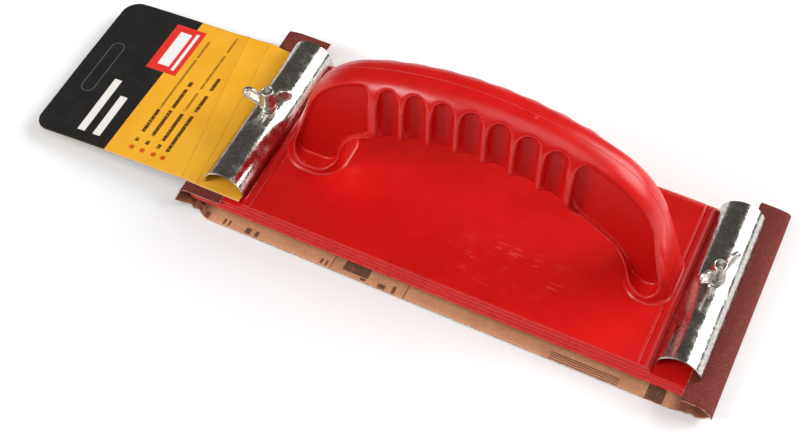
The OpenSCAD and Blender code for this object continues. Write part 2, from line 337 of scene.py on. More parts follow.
class Shader:
    """Short forms for building a node material in object space, in millimetres."""

    def __init__(self, name, colour, roughness, metallic=0.0, specular=0.5):
        self.material = bpy.data.materials.new(name)
        self.material.use_nodes = True
        self.tree = self.material.node_tree
        self.surface = self.tree.nodes["Principled BSDF"]
        self.set("Base Color", (*colour, 1))
        self.set("Roughness", roughness)
        self.set("Metallic", metallic)
        self.set("Specular IOR Level", specular)
        where = self.node("ShaderNodeTexCoord")
        scale = self.node("ShaderNodeVectorMath", operation="SCALE")
        scale.inputs["Scale"].default_value = 1 / MM
        self.link(where.outputs["Object"], scale.inputs[0])
        self.place = scale.outputs[0]
        self.axes = self.node("ShaderNodeSeparateXYZ")
        self.link(self.place, self.axes.inputs[0])
        self.x, self.y, self.z = self.axes.outputs

    def node(self, kind, **settings):
        made = self.tree.nodes.new(kind)
        for key, value in settings.items():
            setattr(made, key, value)
        return made

    def link(self, source, target):
        self.tree.links.new(source, target)

    def set(self, name, value):
        """Sets an input of the surface to a value or to another node's output."""
        target = self.surface.inputs[name]
        if isinstance(value, bpy.types.NodeSocket):
            self.link(value, target)
        else:
            target.default_value = value

    def math(self, operation, a, b=None):
        step = self.node("ShaderNodeMath", operation=operation)
        for k, value in enumerate((a, b)):
            if isinstance(value, bpy.types.NodeSocket):
                self.link(value, step.inputs[k])
            elif value is not None:
                step.inputs[k].default_value = value
        return step.outputs[0]

    def times(self, a, b):
        return self.math("MULTIPLY", a, b)

    def plus(self, a, b):
        return self.math("ADD", a, b)

    def minus(self, a, b):
        return self.math("SUBTRACT", a, b)

    def stretched(self, factors, turn=0.0):
        """The place with its axes stretched, for streaks; turn is about Z in degrees."""
        mapping = self.node("ShaderNodeMapping")
        mapping.inputs["Scale"].default_value = factors
        mapping.inputs["Rotation"].default_value = (0, 0, math.radians(turn))
        self.link(self.place, mapping.inputs[0])
        return mapping.outputs[0]

    def noise(self, size, detail=3.0, rough=0.55, place=None):
        """Noise from 0 to 1; size is its grain in millimetres."""
        made = self.node("ShaderNodeTexNoise")
        made.inputs["Scale"].default_value = 1 / size
        made.inputs["Detail"].default_value = detail
        made.inputs["Roughness"].default_value = rough
        self.link(self.place if place is None else place, made.inputs["Vector"])
        return made.outputs["Fac"]

    def cells(self, size):
        """Distance from the middle of cells about size millimetres across."""
        made = self.node("ShaderNodeTexVoronoi", feature="F1")
        made.inputs["Scale"].default_value = 1 / size
        self.link(self.place, made.inputs["Vector"])
        return made.outputs["Distance"]

    def between(self, value, low, high, out_low=0.0, out_high=1.0):
        """Maps low..high of a value to out_low..out_high, eased at both ends and clamped."""
        made = self.node("ShaderNodeMapRange", interpolation_type="SMOOTHSTEP")
        for k, number in enumerate((low, high, out_low, out_high)):
            made.inputs[k + 1].default_value = number
        self.link(value, made.inputs[0])
        return made.outputs[0]

    def fades(self, value, low, high):
        """1 up to low, 0 from high on, and eased between them."""
        return self.between(value, low, high, 1.0, 0.0)

    def mix(self, share, a, b):
        """Colour a where share is 0 and colour b where it is 1."""
        made = self.node("ShaderNodeMix", data_type="RGBA")
        for socket, value in ((made.inputs[0], share), (made.inputs[6], a), (made.inputs[7], b)):
            if isinstance(value, bpy.types.NodeSocket):
                self.link(value, socket)
            elif isinstance(value, tuple):
                socket.default_value = (*value, 1)
            else:
                socket.default_value = value
        return made.outputs[2]

    def band(self, axis, low, high, soft=0.15):
        """1 where an axis lies between low and high, with soft edges."""
        rise = self.between(axis, low - soft, low + soft)
        fall = self.fades(axis, high - soft, high + soft)
        return self.times(rise, fall)

    def patch(self, x0, x1, y0, y1, soft=0.15):
        """1 inside a rectangle seen from above."""
        return self.times(self.band(self.x, x0, x1, soft), self.band(self.y, y0, y1, soft))

    def any_of(self, masks):
        """The highest of several masks."""
        total = masks[0]
        for mask in masks[1:]:
            total = self.math("MAXIMUM", total, mask)
        return total

    def bump(self, height, distance, strength=1.0, under=None):
        """A bump of the given depth in millimetres, on top of another bump if there is one."""
        made = self.node("ShaderNodeBump")
        made.inputs["Strength"].default_value = strength
        made.inputs["Distance"].default_value = distance * MM
        self.link(height, made.inputs["Height"])
        if under is not None:
            self.link(under, made.inputs["Normal"])
        self.set("Normal", made.outputs[0])
        return made.outputs[0]


# ---- materials

def srgb(red, green, blue):
    """A colour given as 0 to 255 on screen, as the linear numbers a shader takes."""
    share = np.array([red, green, blue]) / 255
    curved = ((share + 0.055) / 1.055) ** 2.4
    return tuple(float(v) for v in np.where(share <= 0.04045, share / 12.92, curved))


def scuffed(s):
    """Fine pale streaks, as a mask: 1 on a streak, and only in one worn area of the panel."""
    streak = s.noise(1.0, 2, place=s.stretched((0.09, 1.1, 0.5), 38))
    cross = s.noise(1.0, 2, place=s.stretched((0.10, 1.3, 0.5), -20))
    fine = s.any_of([s.between(streak, 0.56, 0.66), s.between(cross, 0.58, 0.68)])
    across = s.math("DIVIDE", s.minus(s.x, 24), 36)
    along = s.math("DIVIDE", s.plus(s.y, 23), 15)
    off = s.plus(s.times(across, across), s.times(along, along))
    area = s.times(s.fades(off, 0.2, 1.0), s.between(s.noise(9, 2), 0.42, 0.6))
    return s.times(fine, area)


def painted_recess_shade(s):
    """Mask of painted shade: 1 on the walls of the handle's middle web, which face along Y close to its
    middle plane, where a darker red stands in for the shade in the pockets and flutes.
    """
    facing = s.node("ShaderNodeSeparateXYZ")
    s.link(s.node("ShaderNodeTexCoord").outputs["Normal"], facing.inputs[0])
    sideways = s.between(s.math("ABSOLUTE", facing.outputs[1]), 0.7, 0.95)
    central = s.fades(s.math("ABSOLUTE", s.y), 7.0, 8.4)
    return s.times(sideways, central)


def red_plastic(name, scuffs):
    """Injection-moulded red plastic: satin, faintly rippled and rubbed pale on its edges, with painted shade
    (a darker red and less sheen) on the walls of the handle's pockets and flutes.

    scuffs is how strongly the worn area shows, from 0 to 1.
    """
    s = Shader(name, srgb(205, 22, 20), 0.34, specular=0.40)
    s.set("Subsurface Weight", 0.08)
    s.set("Subsurface Radius", (1.0, 0.2, 0.15))
    s.set("Subsurface Scale", 0.002)
    tone = s.between(s.noise(26, 3), 0.35, 0.65)
    body = s.mix(tone, srgb(198, 17, 15), srgb(208, 20, 18))
    geometry = s.node("ShaderNodeNewGeometry")
    worn = s.between(geometry.outputs["Pointiness"], 0.515, 0.56)
    worn = s.times(worn, s.between(s.noise(2.2, 4), 0.25, 0.6))
    body = s.mix(s.times(worn, 0.45), body, srgb(232, 96, 92))
    scratch = s.times(scuffed(s), scuffs)
    body = s.mix(s.times(scratch, 0.55), body, srgb(228, 92, 86))
    # Painted shade: the web walls inside the pockets and flutes get a darker red and less sheen, standing in
    # for the shade that falls there.
    web = painted_recess_shade(s)
    s.set("Specular IOR Level", s.between(web, 0, 1, 0.40, 0.12))
    s.set("Base Color", s.mix(web, body, srgb(194, 15, 13)))
    satin = s.between(s.noise(7, 2), 0.3, 0.7, 0.27, 0.32)
    s.set("Roughness", s.plus(satin, s.times(scratch, 0.1)))
    skin = s.bump(s.noise(9, 2), 0.05, 0.5)
    s.bump(s.noise(2.6, 2), 0.010, 0.3, under=skin)
    return s.material


def galvanised():
    """Bright galvanised sheet: a glossy zinc skin with fine mottling and duller patches."""
    s = Shader("galvanised_sheet", srgb(205, 202, 196), 0.14, metallic=1.0)
    mottle = s.between(s.noise(1.5, 5, 0.7), 0.35, 0.65)
    flake = s.cells(3.2)
    body = s.mix(mottle, srgb(176, 172, 164), srgb(222, 220, 214))
    body = s.mix(s.between(flake, 0.1, 0.9, 0.0, 0.25), body, srgb(160, 156, 150))
    s.set("Base Color", body)
    dull = s.between(s.noise(5, 4, 0.65), 0.40, 0.68, 0.13, 0.33)
    s.set("Roughness", dull)
    wavy = s.bump(s.noise(6, 2, place=s.stretched((1, 0.35, 1))), 0.02, 0.3)
    s.bump(s.noise(0.9, 3, 0.6), 0.045, 0.8, under=wavy)
    return s.material


def zinc_plate():
    """Bright zinc plating on cast and turned fixings."""
    s = Shader("zinc_plate", srgb(214, 211, 204), 0.16, metallic=1.0)
    mottle = s.between(s.noise(1.6, 4), 0.3, 0.7)
    s.set("Base Color", s.mix(mottle, srgb(188, 184, 176), srgb(228, 226, 220)))
    s.set("Roughness", s.between(s.noise(2.4, 3), 0.3, 0.7, 0.26, 0.36))
    s.bump(s.noise(1.2, 2), 0.004, 0.4)
    return s.material


def rubber():
    """Dense black rubber with a fine cast grain and dust."""
    s = Shader("dense_rubber", srgb(42, 41, 40), 0.8, specular=0.3)
    dust = s.between(s.noise(3.0, 5), 0.5, 0.75)
    s.set("Base Color", s.mix(dust, srgb(36, 35, 35), srgb(74, 70, 66)))
    s.set("Roughness", s.between(dust, 0, 1, 0.7, 0.92))
    s.bump(s.noise(0.4, 4), 0.03, 0.6)
    return s.material


def grit():
    """Aluminium oxide grit in dark red resin."""
    s = Shader("abrasive_grit", srgb(126, 56, 48), 0.85, specular=0.35)
    grain = s.cells(0.42)
    speck = s.between(s.noise(0.45, 3, 0.8), 0.56, 0.72)
    body = s.mix(s.between(grain, 0.1, 0.7), srgb(140, 57, 47), srgb(96, 34, 28))
    body = s.mix(speck, body, srgb(176, 104, 92))
    body = s.mix(s.between(s.noise(13, 3), 0.45, 0.75, 0.0, 0.35), body, srgb(104, 46, 40))
    s.set("Base Color", body)
    s.set("Roughness", s.between(speck, 0, 1, 0.9, 0.55))
    s.bump(s.plus(grain, s.noise(0.3, 2)), 0.10, 0.8)
    return s.material


def kraft():
    """Brown backing paper with plain printed rules, blocks and stripes along its edges, and painted shade
    darkening it towards the folded ends.
    """
    s = Shader("kraft_backing", srgb(206, 150, 112), 0.8, specular=0.25)
    fibre = s.noise(0.8, 4, 0.7, place=s.stretched((0.5, 1.6, 1.0), 12))
    body = s.mix(s.between(fibre, 0.35, 0.7), srgb(210, 150, 111), srgb(230, 174, 132))
    body = s.mix(s.between(s.noise(16, 3), 0.45, 0.7, 0.0, 0.5), body, srgb(190, 130, 96))
    ink = [s.band(s.x, -47.3, -46.8), s.band(s.x, -12.9, -12.4)]
    ink += [s.band(s.x, 94.5, 102.0), s.patch(-42, -30, -47.6, -40), s.patch(-33, -30.5, -49.4, -48.0)]
    ink += [s.patch(-25, -21.5, -49.6, -47.2), s.patch(-18.5, -17, -49.6, -45.8)]
    ink += [s.patch(53, 83, y, y + 0.55, 0.08) for y in (-49.7, -48.6, -47.5, -46.5)]
    strokes = ((-112, 1.2), (-108.6, 2.2), (-99.4, 1.0), (-97, 0.9),
               (-88.6, 2.6), (-84, 1.6), (-52.2, 1.0), (-49.8, 0.9))
    ink += [s.patch(x, x + w, -49.3, -46.2) for x, w in strokes]
    worn_ink = s.times(s.any_of(ink), s.between(s.noise(1.1, 4), 0.3, 0.5, 0.6, 0.9))
    body = s.mix(worn_ink, body, srgb(96, 60, 46))
    # Painted shade: the paper turns dark brown towards the folded ends, standing in for the shade inside the
    # folds.
    fold = s.between(s.math("ABSOLUTE", s.x), 103.5, 110, 0.0, 0.8)
    s.set("Base Color", s.mix(fold, body, srgb(128, 70, 50)))
    s.set("Roughness", s.between(fibre, 0.3, 0.7, 0.72, 0.88))
    creased = s.bump(s.noise(6, 4), 0.25, 0.5)
    s.bump(fibre, 0.03, 0.6, under=creased)
    return s.material


def torn_edge():
    """Pale torn fibres at the cut edge of the backing paper."""
    s = Shader("paper_edge", srgb(206, 164, 134), 0.9, specular=0.2)
    fibre = s.between(s.noise(0.9, 4), 0.4, 0.6)
    s.set("Base Color", s.mix(fibre, srgb(150, 92, 72), srgb(216, 182, 156)))
    s.bump(s.noise(0.4, 3), 0.06, 0.8)
    return s.material


def line_distance(s, x0, y0, x1, y1):
    """Distance from a line seen from above, in millimetres."""
    length = math.hypot(x1 - x0, y1 - y0)
    down = s.times(s.x, (y1 - y0) / length)
    across = s.times(s.y, (x0 - x1) / length)
    off = s.plus(s.plus(down, across), (y0 * (x1 - x0) - x0 * (y1 - y0)) / length)
    return s.math("ABSOLUTE", off)


def point_distance(s, x, y, half=0.0):
    """Distance from a point, or from a line of half a length along Y, seen from above."""
    reach_x = s.minus(s.x, x)
    reach_y = s.math("ABSOLUTE", s.minus(s.y, y))
    reach_y = s.math("MAXIMUM", s.minus(reach_y, half), 0)
    squares = s.plus(s.times(reach_x, reach_x), s.times(reach_y, reach_y))
    return s.math("SQRT", squares)


def card_face(edge_x):
    """Coated card: black head, yellow body, plain blocks and bars in place of words.

    edge_x is where the black head ends.
    """
    s = Shader("coated_card", srgb(244, 178, 44), 0.42, specular=0.4)
    yellow = s.mix(s.between(s.noise(30, 2), 0.35, 0.7), srgb(233, 166, 38), srgb(242, 178, 48))
    black = s.mix(s.between(s.noise(0.5, 3), 0.45, 0.7), srgb(28, 27, 25), srgb(43, 41, 39))
    slant = s.plus(s.x, s.times(s.y, -0.02))
    head = s.fades(slant, edge_x - 0.15, edge_x + 0.15)
    face = s.mix(head, yellow, black)
    creases = []
    for line in (CREASE, (-125.0, 42.4, -115.5, -41.5)):
        creases.append(s.fades(line_distance(s, *line), 0.1, 0.4))
    worn = s.times(s.any_of(creases), s.between(s.noise(6, 3), 0.35, 0.55, 0.10, 0.38))
    face = s.mix(worn, face, srgb(150, 104, 40))
    label = s.patch(-171.6, -155.8, 8.0, 37.4, 0.2)
    stripes = s.any_of([s.patch(-167.6, -161.6, 12, 33.6), s.patch(-159.8, -158.2, 10.6, 35)])
    face = s.mix(label, face, srgb(222, 50, 44))
    face = s.mix(stripes, face, srgb(238, 236, 232))
    titles = s.any_of([s.patch(-180.6, -176.8, -36, -4), s.patch(-172.6, -168.8, -36, -12)])
    face = s.mix(titles, face, srgb(232, 230, 224))
    rim = s.math("ABSOLUTE", s.minus(point_distance(s, *SLOT, SLOT_HALF), SLOT_RADIUS))
    face = s.mix(s.between(rim, 0.08, 0.3, 0.35, 0.0), face, srgb(140, 138, 134))
    face = printed_lines(s, face)
    s.set("Base Color", face)
    s.set("Roughness", s.between(s.noise(9, 4), 0.3, 0.7, 0.34, 0.52))
    wave = s.bump(s.noise(14, 3), 0.25, 0.35)
    s.bump(s.noise(0.6, 3), 0.01, 0.4, under=wave)
    return s.material


def printed_lines(s, face):
    """Four rows of a dot, a heavy bar and a light bar, broken up like words, over a colour."""
    gaps = s.between(s.noise(1.0, 0, place=s.stretched((0.02, 0.16, 0.0))), 0.36, 0.38)
    letters = s.between(s.noise(1.0, 1, place=s.stretched((0.3, 1.1, 0.0))), 0.34, 0.44, 0.55, 1.0)
    words = s.times(gaps, letters)
    rows = ((-152.0, -12, 32.5), (-146.7, 8, 8.2), (-140.9, -8, 39.3), (-136.1, 14.8, 14.9))
    dots = []
    heavy = []
    light = []
    for x, middle, end in rows:
        dots.append(s.fades(point_distance(s, x, -35.6), 1.1, 1.4))
        heavy.append(s.patch(x - 0.9, x + 0.9, -32, middle))
        light.append(s.patch(x - 0.6, x + 0.6, middle + 0.8, end + 0.8))
    face = s.mix(s.times(s.any_of(heavy), words), face, srgb(92, 58, 14))
    faint = s.times(s.times(s.any_of(light), words), 0.75)
    face = s.mix(faint, face, srgb(120, 80, 22))
    return s.mix(s.any_of(dots), face, srgb(206, 88, 12))


def card_back(name, colour):
    """Uncoated grey-brown board, for the back and the cut edge of the card."""
    s = Shader(name, colour, 0.85, specular=0.25)
    pale = tuple(min(1.0, v * 1.25) for v in colour)
    s.set("Base Color", s.mix(s.between(s.noise(0.7, 4, 0.7), 0.35, 0.65), colour, pale))
    s.bump(s.noise(0.5, 4), 0.02, 0.6)
    return s.material


def pale_floor():
    """Plain matt floor, pale round the object and greyer far away from it; the grey further out is painted
    fall-off of light.
    """
    s = Shader("studio_floor", (0.92, 0.92, 0.92), 0.7, specular=0.2)
    away = s.math("SQRT", s.plus(s.math("POWER", s.x, 2), s.math("POWER", s.y, 2)))
    # Painted light: the floor is paler near the object and greyer further out, standing in for the lamps'
    # fall-off.
    s.set("Base Color", s.mix(s.between(away, 380, 1300), (0.96, 0.96, 0.96), (0.55, 0.55, 0.56)))
    s.set("Roughness", s.between(s.noise(40, 2), 0.3, 0.7, 0.65, 0.75))
    return s.material


# ---- handle

def outline_half(foot, lean, bend, top_radius, top, base):
    """Half of the handle's outline in X and Z: a leaning leg, a bend and the long arc to the middle."""
    t = math.radians(lean)
    z0 = top - top_radius
    d = foot * math.cos(t) + base * math.sin(t)
    side = d - bend - z0 * math.sin(t)
    s = z0 * math.cos(t) + math.sqrt((top_radius - bend) ** 2 - side ** 2)
    centre = ((d - bend) * math.cos(t) - s * math.sin(t), (d - bend) * math.sin(t) + s * math.cos(t))
    end = math.degrees(math.atan2(centre[1] - z0, centre[0]))
    turn = arc(centre, bend, lean, end, 7 * FINENESS + 1)
    crown = arc((0, z0), top_radius, end, 90, 8 * FINENESS + 1)
    leg = np.linspace((foot, base), turn[0], 4 * FINENESS + 1)
    return np.concatenate([leg[:-1], turn[:-1], crown])


def whole_outline(right, left):
    """The outline from the right foot over to the left one, carried on below both feet."""
    line = np.concatenate([right, (left * [-1, 1])[::-1][1:]])
    below = line[[0, -1]] - (line[[1, -2]] - line[[0, -1]]) * 4
    return np.concatenate([below[:1], line, below[1:]])


def reach(points, line):
    """Distance of points from a line, positive on its left, and how far along it they are, 0 to 1."""
    step = np.diff(line, axis=0)
    rel = points[:, None] - line[None, :-1]
    t = np.clip((rel * step).sum(-1) / (step * step).sum(-1), 0, 1)
    far = ((rel - t[..., None] * step) ** 2).sum(-1)
    k = far.argmin(1)
    row = np.arange(len(points))
    left = step[k, 0] * rel[row, k, 1] - step[k, 1] * rel[row, k, 0]
    along = np.clip((k + t[row, k] - 1) / (len(step) - 2), 0, 1)
    return np.where(left > 0, 1, -1) * np.sqrt(far[row, k]), along


def handle_body(cell):
    """Bridge handle: a swept bar with finger flutes and leg pockets cut in from both sides.

    It gives back the handle's outer outline.
    """
    lo, hi = box_mm("handle")
    base, top, half = lo[2], hi[2], hi[0]
    outer_half = outline_half(half, 16, 43, 137, top, base)
    outer = whole_outline(outer_half, outer_half)
    inner = whole_outline(outline_half(69.5, 11, 24, 97, 53, base), outline_half(62, 3, 22, 97, 53, base))
    low = np.array([-half - 2.6, -18.0, base - 1.6])
    x, y, z = axes_of(low, (half + 3, 18, top + 1.5), cell)
    flat = np.stack(np.meshgrid(x, z, indexing="ij"), -1)
    deep, along = reach(flat.reshape(-1, 2), outer)
    rise, _ = reach(flat.reshape(-1, 2), inner)
    deep = deep.reshape(flat.shape[:2])[:, None, :]
    rise = -rise.reshape(flat.shape[:2])[:, None, :]
    along = along.reshape(flat.shape[:2])[:, None, :]
    foot = 1 - np.minimum(1, 3.9 * np.minimum(along, 1 - along))
    width = 12.2 + 2.8 * foot ** 2
    thick = np.maximum((deep + rise) / 2, 0.8)
    aside = np.abs(y)[None, :, None] - width
    solid = np.maximum(rounded(-deep, aside, np.minimum(11.8, thick - 0.3)),
                       rounded(-rise, aside, np.minimum(8 + 3 * foot, thick - 0.3)))
    height = np.clip(z - base, 0, 1.4)[None, None, :]
    solid = solid - (1.4 - np.sqrt(1.4 ** 2 - (1.4 - height) ** 2))
    px, pz = flat[..., 0], flat[..., 1]
    web = 6.5
    flute_radius, first_flute, pitch = 4.4, -38.3, 11.95
    inward = web - np.abs(y)[None, :, None]
    slots = np.full(px.shape, 99.0)
    for i in range(7):
        middle = first_flute + pitch * i
        cap = 82.6 - middle ** 2 / 274 - 4.7
        slots = np.minimum(slots, np.hypot(px - middle, np.maximum(pz - cap, 0)) - flute_radius)
    solid = carve(solid, rounded(slots[:, None, :], inward, 2.8), 1.9)
    rim = 2.7
    for end in (px + 47.2, 41.4 - px):
        walls = np.stack([rim - deep[:, 0], rim - 0.7 - rise[:, 0], base + 2.4 - pz], 0)
        bowl = np.sqrt((np.maximum(walls + 7.5, 0) ** 2).sum(0)) + np.minimum(walls.max(0) + 7.5, 0) - 7.5
        bowl = rounded(bowl, end, 5.0)
        solid = carve(solid, rounded(bowl[:, None, :], inward + 0.2, 1.2), 1.3)
    points, faces = field_mesh(solid, low, cell)
    piece = make("handle_moulding", points, faces, [red_plastic("handle_plastic", 0.0)])
    relax(piece, 4)
    cut_flat(piece, base - 0.04)
    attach(piece, "sander")
    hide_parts("handle")
    return outer


def parting_line(outer):
    """The fine raised line that the mould halves leave along the middle of the handle."""
    run = resample(outer[2:-2], 700)
    step = np.gradient(run, axis=0)
    step /= np.linalg.norm(step, axis=1)[:, None]
    away = np.stack([step[:, 1], -step[:, 0]], 1)
    q = np.linspace(0, 2 * math.pi, 8, endpoint=False)
    line3 = np.stack([run[:, 0], np.zeros(len(run)), run[:, 1]], 1)
    uneven = 0.85 + 0.5 * ripple(line3, 5.0, 3.1) + 0.35 * ripple(line3, 0.9, 7.7)
    uneven = np.clip(uneven, 0.25, 1.6)[:, None]
    out = 0.02 + 0.13 * uneven * np.sin(q)
    side = 0.24 * np.ones_like(uneven) * np.cos(q)
    points = np.stack([run[:, :1] + away[:, :1] * out, side, run[:, 1:] + away[:, 1:] * out], -1)
    piece = make("handle_parting_line", points.reshape(-1, 3), tube_faces(len(run), 8),
                 [red_plastic("flash_plastic", 0.0)], "sander")
    outward(piece)


# ---- base, pad and studs

def eased(corners, radius, steps=4):
    """A line with each inner corner turned into a small curve."""
    corners = np.asarray(corners, float)
    out = [corners[0]]
    for before, here, after in zip(corners[:-2], corners[1:-1], corners[2:]):
        back, on = before - here, after - here
        cut = min(radius, 0.45 * np.linalg.norm(back), 0.45 * np.linalg.norm(on))
        a = here + back / np.linalg.norm(back) * cut
        b = here + on / np.linalg.norm(on) * cut
        for t in np.linspace(0, 1, steps):
            out.append((1 - t) ** 2 * a + 2 * t * (1 - t) * here + t * t * b)
    out.append(corners[-1])
    return np.array(out)


def base_moulding():
    """Base moulding: a flat panel with three fine ledges a side, and a cross line and a seat at each end.

    drop lists how far the top lies below the panel at distances from the middle.
    """
    lo, hi = box_mm("base_plate")
    half, low, top = hi[1], lo[2], hi[2]
    step = (top - low) / 4
    side = [(half - 0.6, low), (half, low)]
    for k in range(3):
        at = half - 2 * k / 3
        side += [(at, low + step * (k + 1)), (at - 2 / 3, low + step * (k + 1))]
    side += [(half - 2, top), (half - 4, top)]
    right = eased(side, 0.3)
    flat = np.stack([np.linspace(half - 4, 4 - half, 60)[1:-1], np.full(58, top)], 1)
    under = np.stack([np.linspace(0.6 - half, half - 0.6, 12)[1:-1], np.full(10, low)], 1)
    ring = np.concatenate([right, flat, right[::-1] * [-1, 1], under])
    drop = np.array([(0, 0), (87.2, 0), (87.6, -0.35), (87.95, -0.6), (88.2, -0.6), (88.5, -0.1),
                     (88.9, 0.0), (90.4, -0.05), (91.4, -0.25), (92.3, -0.7), (93.0, -1.4),
                     (93.5, -2.05), (94.1, -SEAT_DROP), (130, -SEAT_DROP)])
    fine = np.arange(86.5, 94.6, 0.12)
    x = np.unique(np.concatenate([np.linspace(-half * 2.5, half * 2.5, 150), fine, -fine]))
    x = x[np.abs(x) < hi[0] - 1.6]
    end = hi[0] - np.array([1.4, 0.8, 0.35, 0.1, 0])
    x = np.concatenate([-end[::-1], x, end])
    grid = np.zeros((len(x), len(ring), 3))
    grid[..., 0] = x[:, None]
    grid[..., 1] = ring[None, :, 0]
    ceiling = top + np.interp(np.abs(x), drop[:, 0], drop[:, 1])
    grid[..., 2] = np.minimum(ring[None, :, 1], ceiling[:, None])
    for row, pull in ((0, 1.3), (1, 0.8), (2, 0.4), (3, 0.1)):
        for place in (row, -1 - row):
            grid[place, :, 1] *= 1 - 0.5 * pull / half
            grid[place, :, 2] -= pull * smooth_step((grid[place, :, 2] - low) / 4)
    spots = grid.reshape(-1, 3)
    sag = 0.025 * ripple(spots, 45.0, 1.5) - 0.02
    grid[..., 2] += sag.reshape(grid.shape[:2]) * smooth_step((grid[..., 2] - top + 0.8) / 0.6)
    piece = make("base_moulding", grid.reshape(-1, 3), tube_faces(len(x), len(ring)),
                 [red_plastic("base_plastic", 1.0)], "sander")
    outward(piece)
    shade(piece, 55)
    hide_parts("base_plate")


def pad_slab():
    """Rubber slab between the base and the sheet, its long edges pressed slightly outwards."""
    lo, hi = box_mm("rubber_pad")
    x = np.concatenate([[lo[0] + 0.4], np.linspace(lo[0] + 0.9, hi[0] - 0.9, 130), [hi[0] - 0.4]])
    half = (hi[1] - lo[1]) / 2
    mid = (hi[2] + lo[2]) / 2
    tall = (hi[2] - lo[2]) / 2
    count = 64
    q = np.linspace(0, 2 * math.pi, count, endpoint=False)
    ring_y = half * np.sign(np.cos(q)) * np.abs(np.cos(q)) ** 0.12
    ring_z = tall * np.sign(np.sin(q)) * np.abs(np.sin(q)) ** 0.25
    ring_y = ring_y + np.where(np.abs(ring_z) < 0.6 * tall, 0.15 * np.sign(ring_y), 0)
    rows = []
    for k, at in enumerate(x):
        small = 0.94 if k in (0, len(x) - 1) else 1.0
        wave = 1 + 0.002 * math.sin(at / 3.1) + 0.0015 * math.sin(at / 7.3)
        rows.append(np.stack([np.full(count, at), ring_y * small ** 0.2 * wave, mid + ring_z * small], 1))
    piece = make("rubber_slab", np.concatenate(rows), tube_faces(len(x), count), [rubber()],
                 "sander")
    outward(piece)
    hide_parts("rubber_pad")


def threaded_stud(side, finish):
    """Round-headed stud with a real helical thread; its top is lower than the CAD's."""
    node = "stud_" + side
    lo, hi = box_mm(node)
    centre = (lo + hi) / 2
    steps = 40
    start = lo[2] + 2.5
    end = hi[2] - 2.6
    rows = int((end - start) / 0.07)
    z = np.linspace(start, end, rows)[:, None]
    q = np.linspace(0, 2 * math.pi, steps, endpoint=False)[None, :]
    turn = (z / LEAD - q / (2 * math.pi)) % 1.0
    flank = np.abs(turn - 0.5) * 2
    depth = 0.38 * np.clip((flank - 0.12) / 0.62, 0, 1)
    taper = smooth_step((end - z) / 0.8)
    radius = 1.98 - depth * smooth_step((z - start) / 0.7) - 0.45 * (1 - taper)

    def rings(radii, heights):
        """Rings of points round the stud's middle line."""
        return np.stack([centre[0] + radii * np.cos(q), centre[1] + radii * np.sin(q), heights + 0 * q], -1)

    head = np.array([(0.6, lo[2]), (4.4, lo[2]), (4.9, lo[2] + 0.4), (STUD_HEAD, lo[2] + 1.2),
                     (4.6, lo[2] + 2.0), (3.6, lo[2] + 2.4), (2.1, start - 0.02)])
    cap = np.array([(1.2, end + 0.02), (0.5, end + 0.05)])
    grid = np.concatenate([rings(head[:, :1], head[:, 1:]), rings(radius, z), rings(cap[:, :1], cap[:, 1:])])
    piece = make("threaded_stud_" + side, grid.reshape(-1, 3), tube_faces(len(grid), steps), [finish],
                 "sander")
    outward(piece)
    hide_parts(node)


# ---- clamps and nuts

def clamp_strip(side, finish):
    """Half-round clamp rolled from 1 mm sheet, with a deeper inner leg and a flared outer edge."""
    node = "clamp_" + side
    lo, hi = box_mm(node)
    way = 1 if side == "right" else -1
    centre_x = (lo[0] + hi[0]) / 2
    axis_z = hi[2] - 10
    leg = np.stack([np.full(6, -9.5), np.linspace(lo[2] - axis_z + 0.05, -0.3, 6)], 1)
    bow = arc((0, 0), 9.5, 180, 16, 66)
    flare = np.array([(9.24, 2.1), (9.32, 1.5), (9.46, 0.95), (9.68, 0.5)])
    section = resample(np.concatenate([leg, bow, flare]), 96)
    y = np.concatenate([[lo[1] + 0.25, lo[1] + 0.7], np.linspace(lo[1] + 2, hi[1] - 2, 58),
                        [hi[1] - 0.7, hi[1] - 0.25]])
    across = section[:, 0]
    grid = np.zeros((len(y), len(section), 3))
    grid[..., 0] = centre_x + way * across[None, :]
    grid[..., 1] = y[:, None]
    grid[..., 2] = axis_z + section[None, :, 1]
    spots = grid.reshape(-1, 3)
    dent = 0.07 * ripple(spots, 17.0, 4.0 + way) + 0.02 * ripple(spots, 5.0, 9.0)
    grid[..., 2] += dent.reshape(grid.shape[:2]) * np.clip(section[None, :, 1] / 9.5, 0, 1)
    corner = np.clip(1 - (y - y[0]) / 1.6, 0, 1) ** 2 + np.clip(1 - (y[-1] - y) / 1.6, 0, 1) ** 2
    grid[:, -6:, 0] -= way * 0.35 * corner[:, None]
    points, faces, _ = thick_sheet(grid if way > 0 else grid[:, ::-1], 0.96, 0.3)
    piece = make("clamp_strip_" + side, points, faces, [finish])
    outward(piece)
    stud_y = box_mm("stud_" + side)[1][1] - STUD_HEAD
    ring, walls = lathe([(2.5, axis_z + 4), (2.5, axis_z + 14)], 48, (centre_x, stud_y))
    drill = make("drill", ring, walls, [finish])
    outward(drill)
    cut = piece.modifiers.new("stud_hole", "BOOLEAN")
    cut.operation = "DIFFERENCE"
    cut.object = drill
    cut.solver = "EXACT"
    settle(piece)
    bpy.data.objects.remove(drill)
    shade(piece, 50)
    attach(piece, side + "_clamp")
    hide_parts(node)


